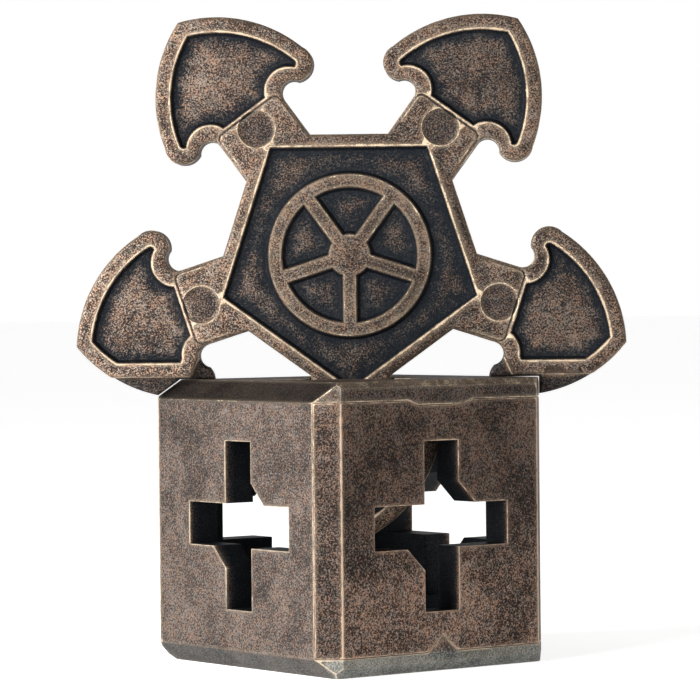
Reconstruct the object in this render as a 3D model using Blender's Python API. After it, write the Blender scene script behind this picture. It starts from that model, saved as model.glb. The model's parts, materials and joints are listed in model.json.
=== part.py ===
"""Hollow cube and star gear: a cast-metal disentanglement puzzle of three pieces.

Two U-shaped castings close into a hollow cube with a cross-shaped opening in every wall. A flat
five-armed star gear stands in the top opening. The head of its lowest arm is inside the cube, and the
gear twists there about the cube's vertical axis.

Frame: metres, +Z up, origin at the centre of the cube's base, walls square to X and Y.
"""

import math

import bmesh
import bpy
from mathutils import Euler, Matrix, Vector

MM = 0.001

# Cube
SIDE = 32.0 * MM
WALL = 3.8 * MM
CHAMFER = 2.2 * MM  # on the front wall's level edges, the top edge at -X and three vertical edges
EDGE_BREAK = 0.6 * MM  # on the vertical edge at -X -Y, the bottom edge at -X and the top at +X and +Y
FOOT_BREAK = 1.2 * MM  # on the bottom edges at +X and +Y
PLATE_RIM = 2.2 * MM  # height of the top and bottom walls' rims, above and below the side walls
SLOT_WIDTH = 4.8 * MM
SLOT_LENGTH = 18.7 * MM
SLOT_CORNER_CUT = 2.4 * MM  # on two opposite inner corners of each cross

# Seam between the two castings
SEAM_GAP = 0.3 * MM
KEY_WIDTH = 4.2 * MM  # pointed key at the foot of each side wall
KEY_HEIGHT = 1.9 * MM
TONGUE_WIDTH = 8.9 * MM  # shallow tongue at the head of each side wall
TONGUE_TAPER = 1.2 * MM
TONGUE_DEPTH = 0.5 * MM

# Star gear, in its own plane: u runs out along an arm, v runs across it
GEAR_THICKNESS = 4.4 * MM
GEAR_RISE = 13.9 * MM  # gear's centre above the cube's top
REST_GAP = 0.3 * MM  # between the gear and the cube's top
ARM_COUNT = 5
ARM_STEP = 2.0 * math.pi / ARM_COUNT
LOWEST_ARM = -0.5 * math.pi
REST_TURN = math.radians(50.0)  # of the gear's plane from +X; its free play is centred on 45 degrees
NECK_WIDTH = 8.9 * MM
HEAD_START = 18.55 * MM
NOTCH_END = Vector((19.2, 6.95)) * MM
NOTCH_DEPTH = 1.0 * MM
HOOK_END = Vector((22.0, 9.65)) * MM
HOOK_BULGE = 1.43 * MM
HEAD_TIP = 32.6 * MM
SIDE_BULGE = 1.75 * MM

# Recesses in both faces of the gear
RECESS_DEPTH = 0.7 * MM
HUB_RECESS_RADIUS = 15.1 * MM
HEAD_RECESS_START = Vector((19.8, 2.9)) * MM
HEAD_RECESS_CORNER = Vector((21.2, 8.0)) * MM
HEAD_RECESS_TIP = 30.6 * MM
HEAD_RECESS_NOTCH = 1.3 * MM
HEAD_RECESS_BULGE = 1.45 * MM
RING_RADIUS = 8.9 * MM
RING_BAND = 1.3 * MM
BOSS_RADIUS = 2.2 * MM
SPOKE_WIDTH = 1.3 * MM

# The two lower heads are stepped back where the cube's corners pass under them
STEP_INNER = Vector((16.7, 10.3)) * MM  # across and down from the gear's centre
STEP_OUTER_ACROSS = 18.1 * MM

HALF = 0.5 * SIDE
CAVITY_HALF = HALF - WALL
OVERSHOOT = 1.0 * MM  # how far a cutter runs past what it cuts
BRONZE = (0.155, 0.105, 0.078)
DARK_BRONZE = (0.115, 0.082, 0.066)


# ---------------------------------------------------------------- scene helpers

def clear_scene():
    for obj in list(bpy.data.objects):
        bpy.data.objects.remove(obj, do_unlink=True)


def new_collection(name):
    collection = bpy.data.collections.new(name)
    bpy.context.scene.collection.children.link(collection)
    return collection


def move_to(obj, collection):
    for owner in list(obj.users_collection):
        owner.objects.unlink(obj)
    collection.objects.link(obj)


def hide_as_cutter(obj):
    obj.hide_render = True
    obj.display_type = "WIRE"


def cast_metal(name, colour, roughness):
    material = bpy.data.materials.new(name)
    material.use_nodes = True
    shader = material.node_tree.nodes["Principled BSDF"]
    shader.inputs["Base Color"].default_value = (*colour, 1.0)
    shader.inputs["Metallic"].default_value = 0.85
    shader.inputs["Roughness"].default_value = roughness
    return material


def boolean(target, cutter, operation):
    modifier = target.modifiers.new(f"{operation.lower()}_{cutter.name}", "BOOLEAN")
    modifier.operation = operation
    modifier.solver = "EXACT"
    modifier.object = cutter


# ---------------------------------------------------------------- shapes

def box(name, collection, size, centre=(0.0, 0.0, 0.0), rotation=(0.0, 0.0, 0.0)):
    """A box of the given size, with its scale applied."""
    bpy.ops.mesh.primitive_cube_add(size=1.0)
    obj = bpy.context.object
    obj.name = name
    obj.data.name = name
    obj.data.transform(Matrix.Diagonal((*size, 1.0)))
    obj.location = centre
    obj.rotation_euler = rotation
    move_to(obj, collection)
    return obj


def prism(name, collection, outline, thickness):
    """A flat outline with a thickness, centred on its own XY plane, as a mesh."""
    curve = bpy.data.curves.new(name, "CURVE")
    curve.dimensions = "2D"
    curve.fill_mode = "BOTH"
    curve.extrude = 0.5 * thickness
    spline = curve.splines.new("POLY")
    spline.points.add(len(outline) - 1)
    for point, (x, y) in zip(spline.points, outline):
        point.co = (x, y, 0.0, 1.0)
    spline.use_cyclic_u = True
    drawn = bpy.data.objects.new(f"{name}_outline", curve)
    bpy.context.scene.collection.objects.link(drawn)
    evaluated = drawn.evaluated_get(bpy.context.evaluated_depsgraph_get())
    mesh = bpy.data.meshes.new_from_object(evaluated)
    weld(mesh)
    obj = bpy.data.objects.new(name, mesh)
    obj.matrix_world = drawn.matrix_world
    collection.objects.link(obj)
    bpy.data.objects.remove(drawn, do_unlink=True)
    return obj


def weld(mesh):
    edit = bmesh.new()
    edit.from_mesh(mesh)
    bmesh.ops.remove_doubles(edit, verts=edit.verts, dist=0.001 * MM)
    bmesh.ops.recalc_face_normals(edit, faces=edit.faces)
    edit.to_mesh(mesh)
    edit.free()


def arc(start, end, rise, steps):
    """Points of a circular arc after its start, up to its end. It swells by rise to the left."""
    chord = end - start
    half = 0.5 * chord.length
    along = chord.normalized()
    left = Vector((-along.y, along.x))
    radius = (half * half + rise * rise) / (2.0 * rise)
    centre = start + along * half + left * (rise - radius)
    sweep = -2.0 * math.atan2(half, radius - rise) if rise > 0.0 else 2.0 * math.atan2(half, rise - radius)
    spoke = start - centre
    return [centre + Matrix.Rotation(sweep * i / steps, 2) @ spoke for i in range(1, steps + 1)]


def regular_polygon(radius, sides, first_angle=0.0):
    angles = [first_angle + 2.0 * math.pi * i / sides for i in range(sides)]
    return [Vector((radius * math.cos(a), radius * math.sin(a))) for a in angles]


def rectangle(x_low, x_high, y_low, y_high):
    corners = [(x_low, y_low), (x_high, y_low), (x_high, y_high), (x_low, y_high)]
    return [Vector(corner) for corner in corners]


# ---------------------------------------------------------------- cube castings

def cross_outline():
    """The cross-shaped opening seen from outside, cut back at the upper right and the lower left."""
    w = 0.5 * SLOT_WIDTH
    reach = 0.5 * SLOT_LENGTH
    c = SLOT_CORNER_CUT
    half_turn = [(reach, -w), (reach, w), (w + c, w), (w, w + c), (w, reach), (-w, reach), (-w, w)]
    return [Vector(p) for p in half_turn] + [-Vector(p) for p in half_turn]


def cross_cutters(cutters):
    """One cross for each wall, all cut to the same outline as seen from outside."""
    upright = math.pi / 2.0
    turns = {
        "front": (upright, 0.0, 0.0),
        "right": (upright, 0.0, upright),
        "back": (upright, 0.0, math.pi),
        "left": (upright, 0.0, -upright),
        "top": (0.0, 0.0, 0.0),
        "bottom": (math.pi, 0.0, 0.0),
    }
    made = []
    for wall, turn in turns.items():
        cutter = prism(f"cross_{wall}", cutters, cross_outline(), WALL + 2.0 * OVERSHOOT)
        cutter.rotation_euler = turn
        outward = cutter.rotation_euler.to_matrix() @ Vector((0.0, 0.0, 1.0))
        cutter.location = Vector((0.0, 0.0, HALF)) + outward * (HALF - 0.5 * WALL)
        made.append(cutter)
    return made


def edge_limit(name, cutters, axis, cuts):
    """A box turned by 45 degrees about one axis, whose sides are the chamfers of four edges.

    cuts are the widths of those chamfers, on the far and near side of each of the other two axes.
    """
    first, second = [i for i in range(3) if i != axis]
    reach = [(SIDE - cut) / math.sqrt(2.0) for cut in cuts]
    size = [2.0 * SIDE] * 3
    size[first] = reach[0] + reach[1]
    size[second] = reach[2] + reach[3]
    offset = Vector()
    offset[first] = 0.5 * (reach[0] - reach[1])
    offset[second] = 0.5 * (reach[2] - reach[3])
    turn = Euler([math.pi / 4.0 if i == axis else 0.0 for i in range(3)])
    centre = Vector((0.0, 0.0, HALF)) + turn.to_matrix() @ offset
    return box(name, cutters, size, centre, turn)


def chamfer_limits(cutters):
    """The chamfers of the cube's twelve edges."""
    return [
        edge_limit("limit_x", cutters, 0, (EDGE_BREAK, CHAMFER, CHAMFER, FOOT_BREAK)),
        edge_limit("limit_y", cutters, 1, (FOOT_BREAK, CHAMFER, EDGE_BREAK, EDGE_BREAK)),
        edge_limit("limit_z", cutters, 2, (CHAMFER, EDGE_BREAK, CHAMFER, CHAMFER)),
    ]


def back_territory_outline(growth):
    """Plan of the back casting's share of the walls: a U that is open at the front.

    Its right leg takes in the front corner's chamfer. Its left leg stops behind the front wall.
    """
    far = SIDE
    inner = CAVITY_HALF - growth
    behind_front = -CAVITY_HALF - growth
    column = HALF - CHAMFER - growth
    outside = [(-far, behind_front), (-far, far), (far, far), (far, -far), (column, -far)]
    inside = [(column, behind_front), (inner, behind_front), (inner, inner), (-inner, inner)]
    return [Vector(p) for p in outside + inside + [(-inner, behind_front)]]


def key_outline(growth):
    """Pointed key that rises from the bottom into a side wall, as (across, height)."""
    foot = PLATE_RIM - OVERSHOOT
    reach = 0.5 * KEY_WIDTH * (KEY_HEIGHT + OVERSHOOT) / KEY_HEIGHT + growth
    apex = PLATE_RIM + KEY_HEIGHT + growth
    return [Vector((-reach, foot)), Vector((reach, foot)), Vector((0.0, apex))]


def tongue_outline(growth):
    """Shallow tongue that hangs from the top into a side wall, as (across, height)."""
    shoulder = SIDE - PLATE_RIM
    head = shoulder + OVERSHOOT
    low = shoulder - TONGUE_DEPTH - growth
    wide = 0.5 * TONGUE_WIDTH + growth
    narrow = wide - TONGUE_TAPER
    left = [(-wide, head), (-wide, shoulder), (-narrow, low)]
    return [Vector(p) for p in left] + [Vector((-x, z)) for x, z in reversed(left)]


def back_territory(name, cutters, growth):
    """The space that belongs to the back casting, grown on every side by growth."""
    height = SIDE - 2.0 * PLATE_RIM + 2.0 * growth
    territory = prism(name, cutters, back_territory_outline(growth), height)
    territory.location = (0.0, 0.0, HALF)
    for kind, outline in (("key", key_outline(-growth)), ("tongue", tongue_outline(-growth))):
        lock = prism(f"{name}_{kind}", cutters, outline, 4.0 * SIDE)
        lock.rotation_euler = (math.pi / 2.0, 0.0, math.pi / 2.0)
        hide_as_cutter(lock)
        boolean(territory, lock, "DIFFERENCE")
    return territory


def cube_casting(name, collection, limits, openings, territory, operation, material):
    casting = box(name, collection, (SIDE, SIDE, SIDE))
    casting.data.transform(Matrix.Translation((0.0, 0.0, HALF)))
    for limit in limits:
        boolean(casting, limit, "INTERSECT")
    for opening in openings:
        boolean(casting, opening, "DIFFERENCE")
    boolean(casting, territory, operation)
    casting.data.materials.append(material)
    return casting


# ---------------------------------------------------------------- star gear

def neck_base():
    """Where the hub's straight edges meet the necks, as a distance from the centre."""
    return GEAR_RISE - REST_GAP


def place_on_arm(point, angle):
    """A (u, v) point of one arm in the gear's own plane."""
    return Matrix.Rotation(angle, 2) @ point


def arm_outline():
    """One arm from the neck's base, round the head and back to the base."""
    neck = 0.5 * NECK_WIDTH
    half = [Vector((neck_base(), neck)), Vector((HEAD_START, neck))]
    half += arc(half[-1], NOTCH_END, -NOTCH_DEPTH, 7)
    half += arc(NOTCH_END, HOOK_END, HOOK_BULGE, 7)
    half += arc(HOOK_END, Vector((HEAD_TIP, 0.0)), SIDE_BULGE, 10)
    mirrored = [Vector((p.x, -p.y)) for p in half]
    return mirrored + half[-2::-1]


def gear_outline():
    points = []
    for k in range(ARM_COUNT):
        points += [place_on_arm(p, LOWEST_ARM + k * ARM_STEP) for p in arm_outline()]
    return points


def head_recess_outline(angle):
    """The sunk panel of one head, bounded by a rim of even width."""
    half = [HEAD_RECESS_START]
    half += arc(HEAD_RECESS_START, HEAD_RECESS_CORNER, -HEAD_RECESS_NOTCH, 7)
    half += arc(HEAD_RECESS_CORNER, Vector((HEAD_RECESS_TIP, 0.0)), HEAD_RECESS_BULGE, 9)
    mirrored = [Vector((p.x, -p.y)) for p in half]
    return [place_on_arm(p, angle) for p in mirrored + half[-2::-1]]


def step_outline(side):
    """Front half of a lower head that is cut away level with the cube's top. side is -1 or 1."""
    level = -(GEAR_RISE - REST_GAP)
    inner = STEP_INNER.x
    low = level - 5.0 * OVERSHOOT
    points = [(inner, -STEP_INNER.y), (STEP_OUTER_ACROSS, level), (HEAD_TIP, level), (HEAD_TIP, low),
              (inner - 4.0 * OVERSHOOT, low), (inner - 4.0 * OVERSHOOT, -STEP_INNER.y)]
    return [Vector((side * x, y)) for x, y in points]


def left_corner_relief():
    """What the cube's corner at -X -Y needs of a lower head, through its thickness, with a gap all round.

    It follows the ridge between the corner's two level chamfers.
    """
    level = -(GEAR_RISE - REST_GAP)
    ridge_top = Vector((math.sqrt(2.0) * (HALF - CHAMFER), -GEAR_RISE))
    drop = CHAMFER - 0.5 * EDGE_BREAK
    slope = Vector((math.sqrt(2.0) * drop, -drop)).normalized()
    ridge_top += Vector((-slope.y, slope.x)) * REST_GAP
    shoulder = ridge_top.x + (level - ridge_top.y) * slope.x / slope.y
    outer = math.hypot(HALF, HALF - EDGE_BREAK) + REST_GAP
    foot = ridge_top.y + (outer - ridge_top.x) * slope.y / slope.x
    points = [(relief_start(), level), (shoulder, level), (outer, foot), (outer, relief_depth())]
    return [Vector((-x, y)) for x, y in points + [(relief_start(), relief_depth())]]


def right_corner_relief():
    """What the cube's corner at +X +Y needs of a lower head. Its top is level out to its blunt edge."""
    outer = math.hypot(HALF, HALF - CHAMFER) + REST_GAP
    return rectangle(relief_start(), outer, relief_depth(), -(GEAR_RISE - REST_GAP))


def relief_start():
    return 0.5 * NECK_WIDTH + 4.0 * OVERSHOOT


def relief_depth():
    return -GEAR_RISE - 5.0 * OVERSHOOT


def in_gear_plane(obj, gear, lift=0.0):
    """Place a cutter in the gear's own frame, lifted off its middle plane."""
    obj.parent = gear
    obj.location = (0.0, 0.0, lift)
    hide_as_cutter(obj)
    return obj


def hub_recess(name, cutters, gear, lift, with_emblem):
    """Pentagonal panel. The front one leaves a plain raised ring with five spokes and a boss."""
    pentagon = regular_polygon(HUB_RECESS_RADIUS, ARM_COUNT, LOWEST_ARM)
    panel = in_gear_plane(prism(name, cutters, pentagon, 2.0 * RECESS_DEPTH), gear, lift)
    if not with_emblem:
        return panel
    thickness = 4.0 * RECESS_DEPTH
    ring = prism("emblem_ring", cutters, regular_polygon(RING_RADIUS, 48), thickness)
    hole = prism("emblem_hole", cutters, regular_polygon(RING_RADIUS - RING_BAND, 48), 2.0 * thickness)
    boolean(ring, in_gear_plane(hole, gear, lift), "DIFFERENCE")
    boss = prism("emblem_boss", cutters, regular_polygon(BOSS_RADIUS, 24), thickness)
    boolean(ring, in_gear_plane(boss, gear, lift), "UNION")
    for k in range(ARM_COUNT):
        bar = rectangle(0.0, RING_RADIUS - 0.5 * RING_BAND, -0.5 * SPOKE_WIDTH, 0.5 * SPOKE_WIDTH)
        turned = [place_on_arm(p, LOWEST_ARM + k * ARM_STEP) for p in bar]
        spoke = prism(f"emblem_spoke_{k}", cutters, turned, thickness)
        boolean(ring, in_gear_plane(spoke, gear, lift), "UNION")
    boolean(panel, in_gear_plane(ring, gear, lift), "DIFFERENCE")
    return panel


def star_gear(collection, cutters, axis, material):
    gear = prism("star_gear", collection, gear_outline(), GEAR_THICKNESS)
    gear.parent = axis
    gear.location = (0.0, 0.0, GEAR_RISE)
    gear.rotation_euler = (math.pi / 2.0, 0.0, 0.0)
    face = 0.5 * GEAR_THICKNESS
    for side, label, under in ((-1, "left", left_corner_relief()), (1, "right", right_corner_relief())):
        step = prism(f"step_{label}", cutters, step_outline(side), GEAR_THICKNESS)
        boolean(gear, in_gear_plane(step, gear, face), "DIFFERENCE")
        relief = prism(f"relief_{label}", cutters, under, 2.0 * GEAR_THICKNESS)
        boolean(gear, in_gear_plane(relief, gear), "DIFFERENCE")
    for lift, label in ((face, "front"), (-face, "rear")):
        boolean(gear, hub_recess(f"hub_{label}", cutters, gear, lift, label == "front"), "DIFFERENCE")
        for k in range(ARM_COUNT):
            outline = head_recess_outline(LOWEST_ARM + k * ARM_STEP)
            panel = prism(f"head_{label}_{k}", cutters, outline, 2.0 * RECESS_DEPTH)
            boolean(gear, in_gear_plane(panel, gear, lift), "DIFFERENCE")
    gear.data.materials.append(material)
    return gear


# ---------------------------------------------------------------- assembly

def build():
    clear_scene()
    parts = new_collection("cube_and_star_gear")
    cutters = new_collection("cutters")

    limits = chamfer_limits(cutters)
    cavity = box("cavity", cutters, (2.0 * CAVITY_HALF,) * 3, (0.0, 0.0, HALF))
    openings = [cavity] + cross_cutters(cutters)
    half_gap = 0.5 * SEAM_GAP
    front_limit = back_territory("front_limit", cutters, half_gap)
    back_limit = back_territory("back_limit", cutters, -half_gap)
    for cutter in limits + openings + [front_limit, back_limit]:
        hide_as_cutter(cutter)

    cube_casting("cube_casting_front", parts, limits, openings, front_limit, "DIFFERENCE",
                 cast_metal("front_casting_bronze", BRONZE, 0.5))
    cube_casting("cube_casting_back", parts, limits, openings, back_limit, "INTERSECT",
                 cast_metal("back_casting_bronze", DARK_BRONZE, 0.52))

    axis = bpy.data.objects.new("gear_twist_axis", None)
    axis.location = (0.0, 0.0, SIDE)
    axis.rotation_euler = (0.0, 0.0, REST_TURN)
    parts.objects.link(axis)
    star_gear(parts, cutters, axis, cast_metal("gear_bronze", BRONZE, 0.48))


build()
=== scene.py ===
"""Looks of a cast-metal puzzle: a hollow cube of two castings, and a flat star gear.

The pieces have rounded edges, tight seams, drafted recesses and casting marks. Each vertex carries its
distance to the nearest worn edge, its depth inside a recess, how sheltered it is, and its painted
shade and painted reflection. The patina is shaded from those and from the object's own coordinates.
"""
import json
import math

import bmesh
import bpy
import numpy as np
from mathutils import Euler, Matrix, Vector
from mathutils.geometry import delaunay_2d_cdt
from mathutils.kdtree import KDTree

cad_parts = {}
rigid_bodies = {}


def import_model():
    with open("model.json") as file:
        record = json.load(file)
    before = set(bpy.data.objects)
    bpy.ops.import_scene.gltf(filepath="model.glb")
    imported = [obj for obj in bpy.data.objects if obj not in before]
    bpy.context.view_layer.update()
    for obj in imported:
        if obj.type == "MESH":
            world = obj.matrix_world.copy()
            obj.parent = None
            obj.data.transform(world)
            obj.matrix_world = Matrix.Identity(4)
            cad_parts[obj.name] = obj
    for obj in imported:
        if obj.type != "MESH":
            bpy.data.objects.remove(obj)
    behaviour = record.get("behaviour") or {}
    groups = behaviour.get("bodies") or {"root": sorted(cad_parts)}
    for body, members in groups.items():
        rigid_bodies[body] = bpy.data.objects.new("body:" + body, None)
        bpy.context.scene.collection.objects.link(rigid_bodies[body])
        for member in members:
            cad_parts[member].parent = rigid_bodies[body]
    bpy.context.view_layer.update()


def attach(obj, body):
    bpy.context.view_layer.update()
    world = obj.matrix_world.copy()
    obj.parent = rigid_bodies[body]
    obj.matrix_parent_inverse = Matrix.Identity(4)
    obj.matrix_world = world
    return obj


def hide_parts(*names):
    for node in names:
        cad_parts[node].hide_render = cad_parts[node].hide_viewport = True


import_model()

MM = 0.001
TURN = 2.0 * math.pi
FAR = 50.0
CHUNK = 1000

# Cube, in millimetres
SIDE = 32.0
HALF = 0.5 * SIDE
WALL = 3.8
CAVITY_HALF = HALF - WALL
CHAMFER = 2.2
EDGE_BREAK = 0.6
FOOT_BREAK = 1.2
PLATE_RIM = 2.2
SLOT_WIDTH = 4.8
SLOT_LENGTH = 18.7
SLOT_CORNER_CUT = 2.4
SEAM_GAP = 0.08
KEY_WIDTH = 4.2
KEY_HEIGHT = 1.9
TONGUE_WIDTH = 8.9
TONGUE_TAPER = 1.2
TONGUE_DEPTH = 0.5
OVERSHOOT = 1.0
MERGE_DISTANCE = 0.005
WORN_ROUND = 0.17
CUBE_GRID = 0.64
GRID_SHIFT = 0.013

# Gear, in millimetres in its own plane: u runs out along an arm, v runs across it
HALF_THICKNESS = 2.2
GEAR_RISE = 13.9
REST_GAP = 0.3
CORNER_GAP = 0.04
ARM_COUNT = 5
ARM_STEP = TURN / ARM_COUNT
LOWEST_ARM = -0.25 * TURN
REST_TURN = math.radians(50.0)
NECK_HALF = 4.45
HEAD_START = 18.55
NOTCH_END, NOTCH_RISE = (19.2, 6.95), -1.0
HOOK_END, HOOK_RISE = (22.0, 9.65), 1.43
HEAD_TIP, HEAD_RISE = 32.6, 1.75
SPACING = 0.3
FINE_SPACING = 0.15
GEAR_GRID = 0.62
LINE_SHARE = 0.866
RELIEF_INNER = NECK_HALF + 4.0
RELIEF_HEIGHT = 5.0
STEP_INNER = (16.7, 10.3)
STEP_OUTER_ACROSS = 18.1
STEP_SIDE = 12.7
STEP_HEIGHT = 8.0
STEP_RIM = 1.6
RECESS_DEPTH = 0.7
RECESS_DISH = 0.16
RECESS_START = (19.85, 2.95)
# The end, the rise and the point spacing of each arc of a head's recess
RECESS_ARCS = (((20.65, 7.55), -1.35, SPACING), ((21.35, 8.1), 0.25, FINE_SPACING),
               ((30.75, 0.0), 1.45, SPACING))
HUB_RECESS_RADIUS = 15.1
RING_RADIUS = 9.1
RING_BAND = 1.4
BOSS_RADIUS = 2.3
SPOKE_HALF = 0.7
MARK_RISE = 17.65
MARK_RADIUS = 2.08
MARK_DEPTH = 0.22
PAD_START = 14.4
PAD_END = 19.5
PAD_HALF = 4.2
PAD_CORNER = 0.8
QUARTER_RISE = 0.29
GROOVE_HALF = 0.17
GROOVE_DEPTH = 0.12
GROOVE_RUNOUT = (15.6, 14.8)
RIM_ROUND = 0.5
STEP_ROUND = 0.45

# Distances inside an outline at which rows of points follow it, in millimetres
RIM_ROWS = (0.05, 0.16, 0.32, 0.5)
WALL_ROWS = (-0.14, -0.05, 0.06, 0.18, 0.3, 0.44)
SPOKE_ROWS = (-0.42,)
RING_ROWS = (0.14, 0.05, -0.06, -0.18, -0.3, -0.44)
MARK_ROWS = (-0.05, 0.06, 0.17)
PAD_ROWS = (-0.18, -0.09, 0.0, 0.09, 0.18)
STEP_ROWS = (0.07, -0.001, -0.05, -0.16, -0.32, -0.5)
SIDE_ROWS = 6

# Wear. Reluctance is added to the distance from an edge: above zero the edge wears less
RELUCTANCE = {"square": 0.02, "foot": 0.17, "upright": -0.06, "level": 0.09}
MARK_RELUCTANCE = 0.05
RIM_RELUCTANCE = 0.05
GROOVE_RELUCTANCE = 0.09
EMBLEM_RELUCTANCE = 0.09
HUB_FLOOR_CUT = 0.22
STEP_SHELTER = 0.75
MARK_SHELTER = 0.45
GROOVE_SHELTER = 0.8
SIDE_SHELTER = 0.55
SIDE_EDGE = 0.35
SIDE_EDGE_GROWTH = 3.0
INSIDE_DEPTH = 0.25
FULL_SHELTER_DEPTH = 0.8

# Painted shade and painted reflection of the pale floor on the cube's facets, where right means +X
FACET_SLACK = 0.05
TOP_CHAMFER_TONES = (0.82, 0.0)
RIGHT_FOOT_TONES = (0.0, 1.0)
RIGHT_FOOT_REACH = 1.5
FOOT_TONES = (0.6, 0.5)
COLUMN_TONES = (0.45, 0.0)
RIGHT_RIM_TONES = (0.58, 0.0)
RIGHT_FACE_PAINTED_SHADE = 0.52
RIGHT_FACE_HEIGHTS = (7.0, 21.0)
OTHER_TONES = (0.3, 0.0)

# Painted shade of the gear, and the spans in millimetres over which each share of it sets in
EVEN_PAINTED_SHADE = 0.02
RIGHTWARD_PAINTED_SHADE, RIGHTWARD_SPAN = 0.46, (-20.0, 14.0)
HUB_PAINTED_SHADE, HUB_SPAN = 0.18, (17.0, 12.0)
UPPER_LEFT_PAINTED_SHADE, UPWARD_SPAN, LEFTWARD_SPAN = 0.15, (-12.0, 6.0), (8.0, -8.0)

# Noises: scale per millimetre, detail, roughness and distortion
GRAIN = (5.2, 3.0, 0.75, 0.0)
FINE = (10.0, 2.0, 0.7, 0.0)
MOTTLE = (0.7, 4.0, 0.62, 0.3)
CLOUD = (0.16, 2.0, 0.5, 0.0)
TINT = (1.1, 4.0, 0.7, 0.0)
SWELL = (1.3, 2.0, 0.5, 0.0)

# Colours. A palette is dark, middle, light and worn
FRONT_PALETTE = ((0.02, 0.0155, 0.0135), (0.08, 0.059, 0.049), (0.23, 0.172, 0.138), (0.6, 0.48, 0.34))
BACK_PALETTE = ((0.0125, 0.0088, 0.007), (0.058, 0.04, 0.031), (0.25, 0.171, 0.13), (0.56, 0.41, 0.29))
GEAR_PALETTE = ((0.016, 0.0115, 0.0095), (0.078, 0.054, 0.042), (0.32, 0.228, 0.168), (0.72, 0.56, 0.39))
TINT_COLOURS = ((0.9, 1.0, 1.08), (1.1, 0.98, 0.9))
# Grey of a painted reflection of the pale floor
PAINTED_REFLECTION_COLOURS = ((0.035, 0.042, 0.04), (0.2, 0.215, 0.2))
HOLLOW_COLOURS = ((0.0034, 0.0056, 0.0084), (0.018, 0.0225, 0.027))
# Dark brown of painted shade
PAINTED_SHADE_COLOUR = (0.0058, 0.005, 0.0046)
WHITE = (1.0, 1.0, 1.0, 1.0)

# Patina: shares of what is mixed in, and the spans over which each of it sets in
GRAIN_SHARE, FINE_SHARE = 0.68, 0.32
MOTTLE_SWING, CLOUD_SWING = 0.17, 0.16
MIDDLE_SPAN, LIGHT_SPAN = (0.44, 0.5), (0.5, 0.56)
TINT_SPAN = (0.38, 0.62)
# Span and share of the painted reflection of the pale floor
PAINTED_REFLECTION_SPAN, PAINTED_REFLECTION_SHARE = (0.38, 0.64), 0.75
RAGGED_MOTTLE, RAGGED_GRAIN = 1.5, 2.4
RECESS_EDGE_SPAN, OPEN_FLOOR_SPAN = (0.02, 0.14), (0.6, 2.6)
FLOOR_SHARE = 0.3
HOLLOW_SPAN, HOLLOW_SHARE = (0.5, 0.72), 0.95
RUB_SWING = 0.42
BRIGHT_SPAN, BRIGHT_SHARE = (0.12, 0.03), 0.62
SHELTERED_SPAN = (0.7, 0.1)
HALO_SPAN, HALO_SHARE = (0.5, 0.1), 0.08
METALLIC = 0.5
SPECULAR = 0.12
ROUGH_SPAN = (0.35, 0.7, 0.62, 0.45)
RUBBED_SMOOTHER = 0.14
GRAIN_RELIEF, FINE_RELIEF, SWELL_RELIEF = 0.6, 0.25, 0.5
BUMP_STRENGTH, BUMP_HEIGHT = 0.55, 0.09

# View, in degrees and millimetres, from the middle of the cube
VIEW_AZIMUTH, VIEW_ELEVATION, VIEW_ROLL = 52.476, 0.774, -0.565
VIEW_BACK, VIEW_ACROSS, VIEW_UP = 404.706, -0.344, 19.183
SENSOR_WIDTH, LENS = 36.0, 183.87
CLIP_NEAR, CLIP_FAR = 0.02, 30.0

# Stage, in metres
FLOOR_RADIUS = 8.0
FLOOR_DROP = 0.02 * MM
PAPER_COLOUR = (0.93, 0.93, 0.93, 1.0)
PAPER_ROUGHNESS = 0.9
PAPER_SPECULAR = 0.1
PAPER_GLOW = 0.72
LIGHT_TARGET = (0.0, 0.0, 0.03)
# Heights between which the surroundings fall off, and their strength at each
SKY_FALL = (("From Min", 0.12), ("From Max", 0.6), ("To Min", 1.0), ("To Max", 0.12))
SMOOTH_DEGREES = 38.0


# ---------------------------------------------------------------- drawing in the plane

def vec(x, y):
    return np.array([x, y], float)


def arc(start, end, rise, spacing=SPACING):
    """Points of a circular arc after its start, up to its end. It swells by rise to the left."""
    start, end = np.asarray(start, float), np.asarray(end, float)
    chord = end - start
    half = 0.5 * np.hypot(*chord)
    along = chord / (2.0 * half)
    left = vec(-along[1], along[0])
    radius = (half * half + rise * rise) / (2.0 * rise)
    centre = start + along * half + left * (rise - radius)
    sweep = -2.0 * math.atan2(half, radius - rise) if rise > 0.0 else 2.0 * math.atan2(half, rise - radius)
    steps = max(3, math.ceil(abs(sweep * radius) / spacing))
    return [centre + turned(start - centre, sweep * i / steps) for i in range(1, steps + 1)]


def turned(point, angle):
    c, s = math.cos(angle), math.sin(angle)
    return vec(c * point[0] - s * point[1], s * point[0] + c * point[1])


def densified(outline):
    """The closed outline with its long sides cut into even steps."""
    points = []
    for a, b in zip(outline, np.roll(outline, -1, axis=0)):
        steps = max(1, math.ceil(np.hypot(*(b - a)) / SPACING - 0.01))
        points += [a + (b - a) * i / steps for i in range(steps)]
    return np.array(points)


def circle(radius, centre=(0.0, 0.0)):
    sides = max(24, math.ceil(TURN * radius / SPACING))
    return np.array([vec(*centre) + radius * vec(math.cos(TURN * i / sides), math.sin(TURN * i / sides))
                     for i in range(sides)])


def nearest(points, a, b, extra=0.0):
    """Distance of each point to the nearest segment from a to b, in the plane or in space."""
    run = b - a
    length = np.maximum((run * run).sum(1), 1e-12)
    out = np.empty(len(points))
    for first in range(0, len(points), CHUNK):
        gaps = [p[:, None] - q for p, q in zip(points[first:first + CHUNK].T, a.T)]
        t = np.clip(sum(g * r for g, r in zip(gaps, run.T)) / length, 0.0, 1.0)
        squared = sum((g - t * r) ** 2 for g, r in zip(gaps, run.T))
        out[first:first + CHUNK] = (np.sqrt(squared) + extra).min(1)
    return out


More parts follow.
